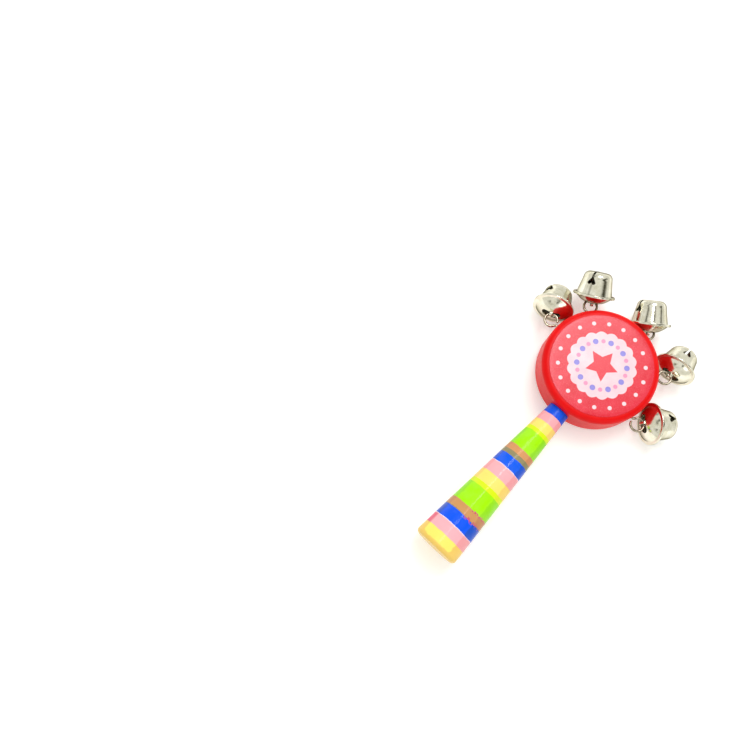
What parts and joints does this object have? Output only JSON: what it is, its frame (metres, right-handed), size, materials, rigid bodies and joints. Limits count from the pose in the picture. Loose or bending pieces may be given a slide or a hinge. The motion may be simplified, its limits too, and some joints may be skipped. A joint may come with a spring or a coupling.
{
  "type": "baby rattle",
  "caption": "Wooden baby rattle: a round lacquered head with flanged metal jingle bells hanging from screw eyes around its rim, on a tapered striped handle.",
  "frame": {"origin": "centre of the head's flat back face", "axes": "+Z out of the printed front, +Y along the rattle from the handle's end towards the head, +X to the right seen from the front"},
  "size_m": [0.1, 0.1752, 0.0253],
  "materials": {
    "red_lacquer": "gloss red lacquer on turned wood",
    "print_film": "satin printed transfer film",
    "striped_paint": "gloss striped transfer print on turned wood",
    "eye_wire": "bright drawn wire",
    "nickel_plate": "bright nickel plate on pressed steel",
    "pellet_steel": "plain steel ball"
  },
  "bodies": {
    "rattle": {"head_disc": "red_lacquer", "front_print_film": "print_film", "handle": "striped_paint", "screw_eye_1": "eye_wire", "screw_eye_2": "eye_wire", "screw_eye_3": "eye_wire", "screw_eye_4": "eye_wire", "screw_eye_5": "eye_wire"},
    "bell_1": {"bell_cap_1": "nickel_plate", "bell_cup_1": "nickel_plate"},
    "bell_2": {"bell_cap_2": "nickel_plate", "bell_cup_2": "nickel_plate"},
    "bell_3": {"bell_cap_3": "nickel_plate", "bell_cup_3": "nickel_plate"},
    "bell_4": {"bell_cap_4": "nickel_plate", "bell_cup_4": "nickel_plate"},
    "bell_5": {"bell_cap_5": "nickel_plate", "bell_cup_5": "nickel_plate"},
    "pellet_1": {"bell_pellet_1": "pellet_steel"},
    "pellet_2": {"bell_pellet_2": "pellet_steel"},
    "pellet_3": {"bell_pellet_3": "pellet_steel"},
    "pellet_4": {"bell_pellet_4": "pellet_steel"},
    "pellet_5": {"bell_pellet_5": "pellet_steel"}
  },
  "joints": [
    {"name": "bell_1_swing", "type": "hinge", "parent": "rattle", "child": "bell_1", "pos_m": [-0.03698, 0.00707, 0.0105], "axis": [0.7373, 0.6756, 0], "range_deg": [-8, 18]},
    {"name": "bell_2_swing", "type": "hinge", "parent": "rattle", "child": "bell_2", "pos_m": [-0.02514, 0.02681, 0.0105], "axis": [0.9466, 0.3223, 0], "range_deg": [-45, 2]},
    {"name": "bell_3_swing", "type": "hinge", "parent": "rattle", "child": "bell_3", "pos_m": [0.00653, 0.03475, 0.0105], "axis": [0.942, 0.3355, 0], "range_deg": [-42, 6]},
    {"name": "bell_4_swing", "type": "hinge", "parent": "rattle", "child": "bell_4", "pos_m": [0.02964, 0.02459, 0.0105], "axis": [0.9336, -0.3584, 0], "range_deg": [-24, 50]},
    {"name": "bell_5_swing", "type": "hinge", "parent": "rattle", "child": "bell_5", "pos_m": [0.03579, -0.00475, 0.0105], "axis": [0.8039, -0.5948, 0], "range_deg": [-11, 46]},
    {"name": "pellet_1_roll", "type": "hinge", "parent": "bell_1", "child": "pellet_1", "pos_m": [-0.03698, 0.00707, 0.0105], "axis": [-0.2977, 0.9033, -0.309], "continuous": true},
    {"name": "pellet_2_roll", "type": "hinge", "parent": "bell_2", "child": "pellet_2", "pos_m": [-0.02514, 0.02681, 0.0105], "axis": [-0.476, 0.7532, 0.454], "continuous": true},
    {"name": "pellet_3_roll", "type": "hinge", "parent": "bell_3", "child": "pellet_3", "pos_m": [0.00653, 0.03475, 0.0105], "axis": [-0.565, 0.765, 0.309], "continuous": true},
    {"name": "pellet_4_roll", "type": "hinge", "parent": "bell_4", "child": "pellet_4", "pos_m": [0.02964, 0.02459, 0.0105], "axis": [-0.0449, 0.9733, -0.225], "continuous": true},
    {"name": "pellet_5_roll", "type": "hinge", "parent": "bell_5", "child": "pellet_5", "pos_m": [0.03579, -0.00475, 0.0105], "axis": [0.699, 0.6527, -0.2924], "continuous": true}
  ]
}
